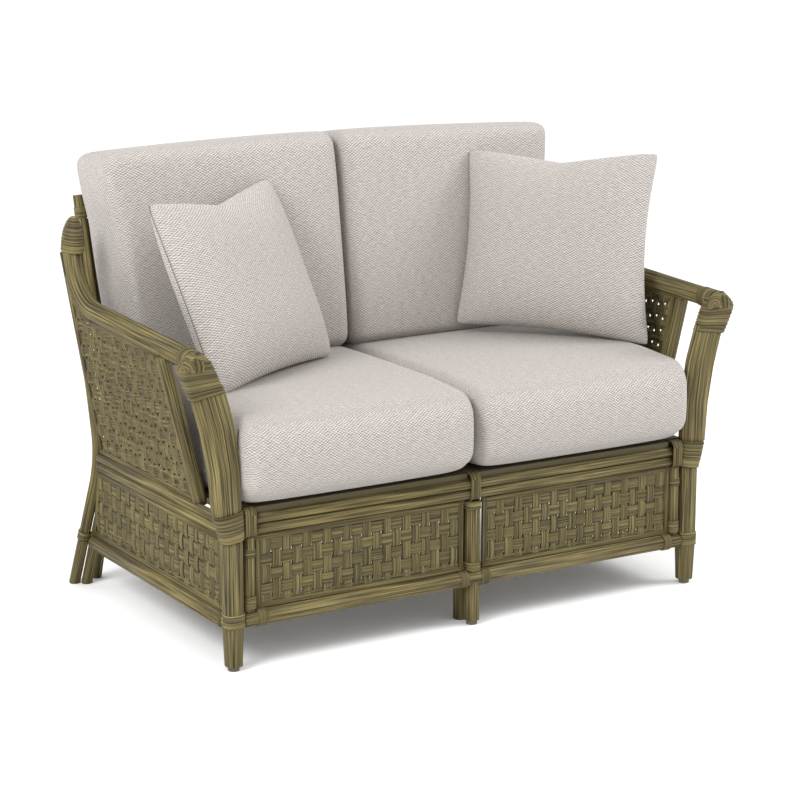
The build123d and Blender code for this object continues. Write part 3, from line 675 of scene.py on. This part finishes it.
def pole(node, start, end, dia, put=place):
    """A plain round pole; the side keeps its seam away from the camera."""
    level = start[2] == end[2]
    made = sweep([start, end], round_section(dia, sides=24), side=(0, 0.3, 1) if level else ACROSS)
    put(made, node, POLES)


for node, half_length, depth, height, dia in (
    ("front_seat_rail_upper", 556.0, 0.0, upper_pole, seat_pole_dia),
    ("front_seat_rail_lower", 556.0, 0.0, lower_pole, seat_pole_dia),
    ("front_bottom_rail", 559.0, 0.0, bottom_rail_height, bottom_rail_dia),
    ("rear_seat_rail", 576.0, rear_rail_depth, rear_pole, rear_rail_dia),
    ("rear_bottom_rail", 572.0, 677.0, bottom_rail_height, rear_rail_dia),
):
    pole(node, (-half_length, depth, height), (half_length, depth, height), dia)

# Each start and end is a depth and a height
for node, x, start, end, dia, put in (
    ("side_bottom_rail", side_plane, (22.0, bottom_rail_height), (664.0, bottom_rail_height),
     bottom_rail_dia, place_pair),
    ("centre_leg_front", 0.0, (0.0, glide_height), (0.0, 97.0), centre_leg_dia, place),
    ("centre_leg_rear", 0.0, (45.0, 0.0), (45.0, 308.0), centre_leg_dia, place),
    ("centre_bearer", 0.0, (15.0, upper_pole), (634.0, upper_pole), seat_pole_dia, place),
):
    pole(node, (x, *start), (x, *end), dia, put)

side_rail_front = 24.0
side_poles = []
for height, side_rail_rear in ((upper_pole, 622.0), (lower_pole, 624.0)):
    line = [(side_plane, side_rail_front, height), (side_plane, side_rail_rear, height)]
    side_poles.append(sweep(line, round_section(seat_pole_dia), side=UPWARD))
place_pair(join(side_poles), "side_seat_rail", POLES)

# Posts with ring bands
ringed_post_low, ringed_post_top = 121.0, 279.0
ring_extra_dia = 2.4


def ringed_post(node, x, dia, rings, put):
    line = standing(x, ringed_post_low, ringed_post_top)
    parts = [sweep(line, bundle_section(dia, strips=8, groove=1.0, power=2.3))]
    for low, high in rings:
        parts.append(wound_band(standing(x, low, high), dia + ring_extra_dia, turn=6.0, groove=0.9))
    put(join(parts), node, POLES)


ringed_post("inner_post", inner_post_place, dia=24.5, rings=((127, 153), (236, 254)), put=place_pair)
ringed_post("centre_post", 0.0, dia=31.5, rings=((124, 142), (260, 279)), put=place)

# Saddles over the two seat poles
saddle_half_depth, saddle_rise = 14.2, 14.5
saddle_low, saddle_drop = 288.0, 9.0
saddle_top_steps, saddle_bottom_steps = 32, 8
saddle_close_share = 0.999
saddle_peels, saddle_peel_points = 4, 6
saddle_groove, saddle_roundness = 1.3, 0.4
saddle_outside, saddle_inside = 1.4, 1.6


def saddle(node, x, width, put):
    """Peels bent over both poles, closed below."""
    line = []
    for k in range(saddle_top_steps + 1):
        angle = math.pi * k / saddle_top_steps
        line.append((x, -saddle_half_depth * math.cos(angle), seat_rail_top + saddle_rise * math.sin(angle)))
    for k in range(1, saddle_bottom_steps + 1):
        angle = math.pi * k / saddle_bottom_steps
        depth = saddle_half_depth * math.cos(angle * saddle_close_share)
        line.append((x, depth, saddle_low - saddle_drop * math.sin(angle)))
    line.append((x, -saddle_half_depth, seat_rail_top))
    count = saddle_peels * saddle_peel_points
    outline = []
    for k in range(count + 1):
        dip = valley((k % saddle_peel_points) / saddle_peel_points, saddle_groove, saddle_roundness)
        outline.append((saddle_outside - dip, -width / 2 + width * k / count))
    outline += [(-saddle_inside, width / 2), (-saddle_inside, -width / 2)]
    made = sweep(line, lambda share, length: outline, side=(0, -1, 0), caps=False)
    put(made, node, WRAPS)


saddle("corner_saddle", inner_post_place, width=26.0, put=place_pair)
saddle("centre_saddle", 0.0, width=24.0, put=place)

# Bands round the bottom rail
rail_band_half_width, rail_band_extra_dia = 10.0, 4.0
centre_band_places, corner_band_place = (-26.7, 26.7), 520.0


def rail_band(x):
    line = [(x + sign * rail_band_half_width, 0, bottom_rail_height) for side, sign in SIDES]
    dia = bottom_rail_dia + rail_band_extra_dia
    return wound_band(line, dia, turn=5.0, groove=0.9, power=2.2, side=UPWARD)


place(join([rail_band(x) for x in centre_band_places]), "centre_bottom_wrap", WRAPS)
place_pair(rail_band(corner_band_place), "corner_bottom_wrap", WRAPS)

# Woven panels
strap_step, strap_overrun = 2.6, 2.0
strap_peels, strap_peel_points = 4, 4
strap_groove, strap_rise = 0.55, 1.0
wave_roundness = 0.55
strap_grain_gap = 2.0
strap_gap, band_gap = 5.0, 8.0
strap_tuck = 6.0
band_extra_lift = 0.1


def inside_range(outline, x, axis):
    """Lowest and highest crossing of the outline with the line at x on the given axis."""
    hits = []
    for first, second in zip(outline, outline[1:] + outline[:1]):
        a, b = first[axis], second[axis]
        if (a - x) * (b - x) <= 0 and a != b:
            share = (x - a) / (b - a)
            hits.append(first[1 - axis] + share * (second[1 - axis] - first[1 - axis]))
    return min(hits), max(hits)


def strip_edges(places, first_gap, pitch, gap):
    """Pairs of edges of the strips that fill the width inside the border, with a gap at each pitch."""
    low, high = min(places) + border_width, max(places) - border_width
    edges = [low]
    mark = first_gap
    while mark < high - gap:
        if mark > low + gap:
            edges += [mark - gap / 2, mark + gap / 2]
        mark += pitch
    edges.append(high)
    return list(zip(edges[::2], edges[1::2]))


def strap(edges, reach, place_of, crossings, pitch, lift, behind):
    """One strap of several peels that waves in front and behind; its sides carry a near-black painted shade
    for the shadow in the gaps between straps.
    """
    middle = (edges[0] + edges[1]) / 2
    width = edges[1] - edges[0]
    line = np.arange(reach[0] + strap_tuck, reach[1] - strap_tuck + strap_overrun, strap_step)
    count = strap_peels * strap_peel_points
    rings = []
    for position in line:
        wave = math.cos(math.pi * (position - crossings) / pitch)
        shift = lift * math.copysign(abs(wave) ** wave_roundness, wave)
        ring = []
        for k in range(count + 1):
            dip = valley((k % strap_peel_points) / strap_peel_points, strap_groove)
            ring.append(place_of(middle + width * (k / count - 1 / 2), position, shift + strap_rise - dip))
        ring.append(place_of(middle + width / 2, position, shift - behind))
        ring.append(place_of(middle - width / 2, position, shift - behind))
        rings.append(ring)
    across = [width * k / count for k in range(count + 1)]
    across += [width + strap_grain_gap, width * 2, width * 2 + strap_grain_gap]
    made = surface(rings, across, list(line))
    columns = len(rings[0])
    # The strap's two side walls get the second slot, the painted shade.
    shaded_side_columns = (count, count + 2)
    marks = [0] * len(made.data.polygons)
    for index in range((len(rings) - 1) * columns):
        marks[index] = int(index % columns in shaded_side_columns)
    made.data.polygons.foreach_set("material_index", marks)
    return made


def woven_panel(node, origin, right, up, outline, first_gaps, first_side=1.0, behind=1.0, lift=1.4):
    """A border round a checkerboard of straps and bands; first_gaps places a gap of each kind."""
    origin, right, up = Vector(origin), Vector(right), Vector(up)
    out = right.cross(up)
    outline = [Vector(corner) for corner in outline]

    def upright_place(x, y, z):
        return origin + right * x + up * y + out * z

    first_column, first_row = first_gaps
    parts = []
    columns = strip_edges([p.x for p in outline], first_column, strap_pitch, strap_gap)
    for index, edges in enumerate(columns):
        phase = first_side if index % 2 == 0 else -first_side
        parts.append(strap(
            edges, inside_range(outline, sum(edges) / 2, 0), upright_place,
            first_row + band_pitch / 2, band_pitch, phase * (lift + band_extra_lift), behind,
        ))
    for edges in strip_edges([p.y for p in outline], first_row, band_pitch, band_gap):
        gaps_below = round((edges[0] - first_row) / band_pitch)
        phase = first_side if gaps_below % 2 == 0 else -first_side
        parts.append(strap(
            edges, inside_range(outline, sum(edges) / 2, 1), lambda y, x, z: upright_place(x, y, z),
            first_column + strap_pitch / 2, strap_pitch, phase * (lift - band_extra_lift), behind,
        ))
    middle = sum(outline, Vector((0, 0))) / len(outline)
    section = bundle_section(border_width, strips=4, groove=0.9, depth=9.0)
    for first, second in zip(outline, outline[1:] + outline[:1]):
        run = (second - first).normalized()
        inward = Vector((-run.y, run.x))
        if inward.dot(middle - first) < 0:
            inward = -inward
        line = [upright_place(*(corner + inward * border_width / 2), 0.0) for corner in (first, second)]
        parts.append(sweep(line, section, side=right * inward.x + up * inward.y))
    place_pair(join(parts), node, "flat_straps")


def four_corners(start, low_end, high_end, low=123.2, high=281.8):
    """A panel's outline, in its own two directions, with an upright side at its start."""
    return [(start, low), (low_end, low), (high_end, high), (start, high)]


first_band_gap = 146.88
woven_panel(
    "front_panel", (0, 0, 0), ACROSS, UPWARD, four_corners(24.0, low_end=530.0, high_end=530.0),
    first_gaps=(59.2, first_band_gap), behind=5.5,
)
woven_panel(
    "side_panel", (side_plane, 0, 0), BACKWARD, UPWARD, four_corners(23.7, low_end=668.0, high_end=630.0),
    first_gaps=(58.06, first_band_gap), first_side=-1.0, behind=4.5, lift=2.0,
)

arm_lean = math.radians(10.4)
arm_up = (math.sin(arm_lean), 0, math.cos(arm_lean))
arm_low = 0.2
arm_outline = [
    (149.2, arm_low), (614.0, arm_low), (606.0, 416.0), (579.0, 370.0), (511.0, 331.0), (144.5, 320.5),
]
woven_panel(
    "arm_panel", (side_plane, 0, seat_rail_top + arm_low), BACKWARD, arm_up, arm_outline,
    first_gaps=(152.0, 44.0), behind=1.9, lift=2.4,
)

back_panel_inset = 12.7
back_axis_depth = rear_rail_depth + rear_rail_dia / 2 + back_panel_inset
woven_panel(
    "back_panel", (0, back_axis_depth, rear_pole), ACROSS, (0, math.sin(back_lean), math.cos(back_lean)),
    four_corners(back_panel_inset, low_end=526.6, high_end=551.4, low=30.0, high=530.0),
    first_gaps=(49.0, 75.0),
)

# Arm frames
stile_depth = 134.0
stile_ends = [(582.6, stile_depth, 322.0), (661.7, stile_depth, 642.0)]
stile_section = bundle_section(stile_dia, strips=8, groove=1.5, power=2.1)
place_pair(sweep(even_path(stile_ends, step=20.0), stile_section), "arm_frame", POLES)

# Back frame: posts that stand splayed up to the seat and lean back above it
back_slope = math.tan(back_lean)
back_foot_depth, back_foot_place = 736.0, 560.0
back_knee_depth, back_knee_place = back_axis_depth - 4.4, 538.0
back_post_rise, back_post_spread = 578.0, 29.0
back_pole_dia = 25.0
ring_rise, ring_half_height, ring_lean = 539.0, 12.0, 0.6
top_rail_rise, top_rail_end = 565.5, 555.0


def back_point(x, rise):
    """A point of the leaning back at a height above the rear seat rail."""
    return (x, back_axis_depth + back_slope * rise, rear_pole + rise)


def back_line(foot_place, knee_place, spread, rise):
    """A back post's route: foot, knee at the seat rail and top."""
    foot = (foot_place, back_foot_depth, 0)
    knee = (knee_place, back_knee_depth, rear_pole)
    return rounded_path([foot, knee, back_point(knee_place + spread, rise)], radii=[300.0])


back_post = sweep(
    back_line(back_foot_place, back_knee_place, back_post_spread, back_post_rise),
    bundle_section(back_pole_dia, strips=5, groove=0.8, power=2.1),
)
ring_place = back_knee_place + back_post_spread * ring_rise / back_post_rise
ring_ends = [
    back_point(ring_place + sign * ring_lean, ring_rise + sign * ring_half_height) for side, sign in SIDES
]
ring = wound_band(ring_ends, dia=26.6, turn=6.0, groove=0.8)
place_pair(join([back_post, ring]), "back_post", POLES)
centre_back = sweep(back_line(0, 0, 0, rise=556.0), round_section(back_pole_dia))
place(centre_back, "back_centre_post", POLES)
top_rail_ends = [back_point(sign * top_rail_end, top_rail_rise) for side, sign in SIDES]
pole("back_top_rail", *top_rail_ends, rear_rail_dia)

# Solids that need only a finish
for node, skin in (("seat_deck", dark_board), ("leg_glides", glide_skin)):
    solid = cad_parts[node]
    solid.data.materials.clear()
    solid.data.materials.append(skin)

# Cushions
crown_roundness = 0.6
face_grain_shift = 37.0


def soft_box(half, radius, crown, cells, shape):
    """A stuffed box with rounded edges; crown is how far each pair of faces swells out."""
    points = []
    faces = []
    uvs = []
    index_of = {}

    def vertex(p):
        key = tuple(round(c, ndigits=6) for c in p)
        if key not in index_of:
            index_of[key] = len(points)
            points.append(soft_point(p, half, radius, crown, shape))
        return index_of[key]

    for axis in range(3):
        b, c = (axis + 1) % 3, (axis + 2) % 3
        first, second = min(b, c), max(b, c)
        for sign in (-1.0, 1.0):
            for i, j in np.ndindex(cells[b], cells[c]):
                corners = [(i, j), (i + 1, j), (i + 1, j + 1), (i, j + 1)]
                if sign < 0:
                    corners.reverse()
                face = []
                for u, v in corners:
                    p = [0.0, 0.0, 0.0]
                    p[axis] = sign
                    p[b] = -1.0 + 2.0 * u / cells[b]
                    p[c] = -1.0 + 2.0 * v / cells[c]
                    face.append(vertex(p))
                    uvs.append((p[first] * half[first] + face_grain_shift * axis, p[second] * half[second]))
                faces.append(tuple(face))
    return points, faces, uvs


def soft_point(p, half, radius, crown, shape):
    """Moves a point of the box's skin onto the rounded, swollen form; radius has one value per axis."""
    core = []
    over = []
    for value, h, r in zip(p, half, radius):
        limit = 1.0 - r / h
        eased = max(-limit, min(limit, value))
        core.append(eased * h)
        over.append((value - eased) * h / r)
    reach = math.hypot(*over)
    biggest = max(abs(o) for o in over)
    if reach > 0:
        over = [o / reach * biggest * r for o, r in zip(over, radius)]
    point = [c + o for c, o in zip(core, over)]
    for axis in range(3):
        b, c = (axis + 1) % 3, (axis + 2) % 3
        full = (1 - p[b] ** 2) * (1 - p[c] ** 2)
        point[axis] += crown[axis] * full ** crown_roundness * p[axis]
    return shape(p, point)


def add_shaded_seam_line(made, line, dia):
    """A thin seam laid along a line and joined to the cushion; its dark colour is painted shadow in the
    seam's crease.
    """
    thread = sweep(line, round_section(dia, sides=6), side=UPWARD, caps=False)
    # The thread takes the second slot, the painted seam shadow.
    thread.data.polygons.foreach_set("material_index", [1] * len(thread.data.polygons))
    for item in (made, thread):
        for skin in (cloth, seam_shade_skin):
            item.data.materials.append(skin)
    return join([made, thread])


def smooth_and_place(made, node, slot_name):
    subdivide = made.modifiers.new("smooth", "SUBSURF")
    subdivide.levels = 1
    subdivide.render_levels = 1
    place(made, node, slot_name, f"{node}_loose")


def cushion(node, centre, half, radius, crown, cells, shape, tilt=0.0, seam=()):
    """A loose cushion in its place, leaning back by tilt."""
    turn_back = Matrix.Rotation(-tilt, 3, "X")

    def placed(point):
        return Vector(centre) + turn_back @ Vector(point)

    points, faces, uvs = soft_box(half, radius, crown, cells, shape)
    made = mesh_object([placed(point) for point in points], faces, uvs)
    if seam:
        line = [placed(soft_point(mark, half, radius, crown, shape)) for mark in seam]
        made = add_shaded_seam_line(made, line, dia=2.2)
    smooth_and_place(made, node, "cushion_fabric")


# Seat cushions; p holds a point's place in the cushion, from -1 to 1 on each axis
seat_front_share = 0.5
seat_swell, seat_swell_power = 22.0, 9
seat_dome, seat_arm_lift, seat_dome_power = 12.0, 8.0, 4
seat_front_fall, seat_front_lift = 10.0, 6.5
seat_corner_lift, seat_corner_power = 16.0, 14
seam_front_share, seam_half_share, seam_points = 0.93, 0.86, 25


def seat_shape(sign, p, point):
    """The seat cushion's top domes up, highest beside the arm, and its front swells over the rail."""
    x, y, z = point
    front = max(0.0, -p[1] - seat_front_share) / seat_front_share
    outward = max(0.0, sign * p[0])
    y -= seat_swell * front ** 2 * (1 - p[2] ** 2) * (1 - abs(p[0]) ** seat_swell_power)
    if p[2] > 0:
        z += (seat_dome + seat_arm_lift * outward ** 2) * (1 - max(0.0, p[1]) ** seat_dome_power) * p[2]
        z -= seat_front_fall * front * p[2]
    else:
        z -= seat_front_lift * front * p[2]
        z += seat_corner_lift * front * abs(p[0]) ** seat_corner_power
    return [x, y, z]


def corner_seam(sign):
    """Up the front outer corner of a cushion."""
    heights = np.linspace(-seam_half_share, seam_half_share, seam_points)
    return [(sign, -seam_front_share, float(height)) for height in heights]


for side, sign in SIDES:
    cushion(
        f"seat_cushion_{side}", centre=(sign * 284.5, 304.5, 427.6), half=(281.0, 332.0, 88.0),
        radius=(22.0, 46.0, 44.0), crown=(3.0, 5.0, 8.0), cells=(44, 52, 16),
        shape=lambda p, point: seat_shape(sign, p, point), seam=corner_seam(sign),
    )

# Back cushions; their wander is a height above the cushion's middle and a shift outwards
back_wander = ((-118, -14), (-12, -5), (94, 2), (160, 14), (221, 21))
back_swell, back_swell_power = 10.0, 6
back_top_lift, back_top_slant = 14.5, 6.5


def back_shape(sign, p, point):
    """The back cushion's outer side wanders out towards its top corner."""
    x, y, z = point
    outward = max(0.0, sign * p[0])
    inward = max(0.0, -sign * p[0])
    x += sign * outward ** 2 * looked_up(back_wander, z)
    y -= back_swell * inward ** 2 * (1 - abs(p[2]) ** back_swell_power)
    z += (back_top_lift - back_top_slant * sign * p[0]) * max(0.0, p[2]) ** 2
    return [x, y, z]


for side, sign in SIDES:
    box_low, box_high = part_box(f"back_cushion_{side}")
    middle_depth = (box_low[1] + box_high[1]) / 2 / MM
    cushion(
        f"back_cushion_{side}", centre=(sign * 285.5, middle_depth, 750.0), half=(281.0, 88.0, 238.0),
        radius=(24.0, 44.0, 27.0), crown=(3.0, 20.0, 6.0), cells=(44, 14, 40),
        shape=lambda p, point: back_shape(sign, p, point), tilt=back_lean,
    )

# Throw pillows
pillow_cells = 44
pillow_thickness = 140.0
pillow_edge_power, pillow_edge_roundness = 3.2, 0.62
pillow_dip_power, pillow_top_dip_power = 1.5, 1.15
pillow_corner_blunt, pillow_corner_power = 8.0, 12
crease_depth, crease_count = 2.2, 9
pillow_weld = 0.4


def pillow_point(s, t, width, height, dips, corners):
    """Place across and up, and thickness on one side, of a pillow's skin point."""
    low, right_dip, high, left_dip = dips
    pull_x = (right_dip if s > 0 else left_dip) * (1 - t * t)
    pull_y = high * (1 - abs(s)) ** pillow_top_dip_power if t > 0 else low * (1 - s * s)
    blunt = pillow_corner_blunt * abs(s * t) ** pillow_corner_power
    x = s * width / 2 - math.copysign(pull_x, s) * abs(s) ** pillow_dip_power - math.copysign(blunt, s)
    y = t * height / 2 - math.copysign(pull_y, t) * abs(t) ** pillow_dip_power - math.copysign(blunt, t)
    for (right, top), (across, up) in corners.items():
        share = (1 + right * s) * (1 + top * t) / 4
        x += share * across
        y += share * up
    swell = ((1 - abs(s) ** pillow_edge_power) * (1 - abs(t) ** pillow_edge_power)) ** pillow_edge_roundness
    crease = crease_depth * math.sin(crease_count * math.atan2(t, s)) * abs(s * t) ** pillow_dip_power * swell
    return x, y, pillow_thickness / 2 * swell + crease


def pillow(node, centre, along, up, width, height, dips, corners, seam):
    """A knife-edged pillow.

    Dips say how far the bottom, right, top and left edges draw in. Corners, each named by -1 or 1
    to the right and upwards, move across and up. The seam is on the left edge.
    """
    side = Vector(along).normalized()
    face = side.cross(Vector(up)).normalized()
    rise = face.cross(side)
    row = pillow_cells + 1
    points = []
    faces = []
    uvs = []
    for layer in (1.0, -1.0):
        start = len(points)
        for j, i in np.ndindex(row, row):
            s = -1 + 2 * i / pillow_cells
            t = -1 + 2 * j / pillow_cells
            x, y, z = pillow_point(s, t, width, height, dips, corners)
            points.append(Vector(centre) + side * x + rise * y - face * z * layer)
        for j, i in np.ndindex(pillow_cells, pillow_cells):
            a = start + j * row + i
            quad = [a, a + 1, a + row + 1, a + row]
            if layer > 0:
                quad.reverse()
            faces.append(tuple(quad))
            for index in quad:
                k = index - start
                uvs.append((k % row * width / pillow_cells, k // row * height / pillow_cells))
    made = mesh_object(points, faces, uvs)
    if seam:
        made = add_shaded_seam_line(made, [points[k * row] for k in range(row)], dia=1.7)
    weld = made.modifiers.new("weld", "WELD")
    weld.merge_threshold = pillow_weld * MM
    smooth_and_place(made, node, "pillow_fabric")


pillow(
    "throw_pillow_left", centre=(-360.0, 357.0, 731.4), along=(374.0, 214.0, 5.0), up=(-88.0, 140.0, 399.0),
    width=462.0, height=438.0, dips=(14.0, 16.0, 38.0, 6.0),
    corners={(1, -1): (6.0, 0.0), (-1, 1): (-6.0, -2.0), (1, 1): (8.0, -6.0)}, seam=True,
)
pillow(
    "throw_pillow_right", centre=(455.0, 349.4, 738.2), along=(308.0, -337.0, -6.0), up=(68.0, 72.0, 407.0),
    width=452.0, height=440.0, dips=(16.0, 24.0, 30.0, 18.0),
    corners={(-1, -1): (-7.0, 22.0), (1, -1): (15.0, 2.0), (-1, 1): (-9.0, 5.0), (1, 1): (3.0, 18.0)},
    seam=False,
)

# Floor, light and camera, in metres
floor_reach = 30.0
floor_corners = [(-1, -1), (1, -1), (1, 1), (-1, 1)]
light_target = (0, 0.3, 0.4)
floor_mesh = bpy.data.meshes.new("floor")
floor_mesh.from_pydata([(x * floor_reach, y * floor_reach, 0) for x, y in floor_corners], [], [(0, 1, 2, 3)])
floor = new_object(floor_mesh)
floor.data.materials.append(plain_material("floor", colour=(0.94, 0.94, 0.94), roughness=0.9))

world = bpy.data.worlds.new("studio")
bpy.context.scene.world = world
world.use_nodes = True
sky = world.node_tree.nodes["Background"]
sky.inputs["Color"].default_value = (1.0, 1.0, 1.0, 1.0)
sky.inputs["Strength"].default_value = 1.12


def aim(item, spot, target):
    item.location = spot
    item.rotation_euler = (Vector(target) - Vector(spot)).to_track_quat("-Z", "Y").to_euler()


def area_light(name, spot, size, power):
    data = bpy.data.lights.new(name, "AREA")
    data.size = size
    data.energy = power
    lamp = new_object(data)
    aim(lamp, spot, light_target)


area_light("key", spot=(-3.3, -0.9, 3.0), size=1.6, power=118.0)
area_light("fill", spot=(3.0, -1.1, 2.6), size=1.4, power=75.0)

camera_data = bpy.data.cameras.new("camera")
camera_data.lens = 105.6
camera = new_object(camera_data)
aim(camera, spot=(-2.65588, -4.08245, 1.62612), target=(-0.18224, 0.0, 0.52092))
bpy.context.scene.camera = camera
bpy.context.scene.view_settings.view_transform = "Standard"
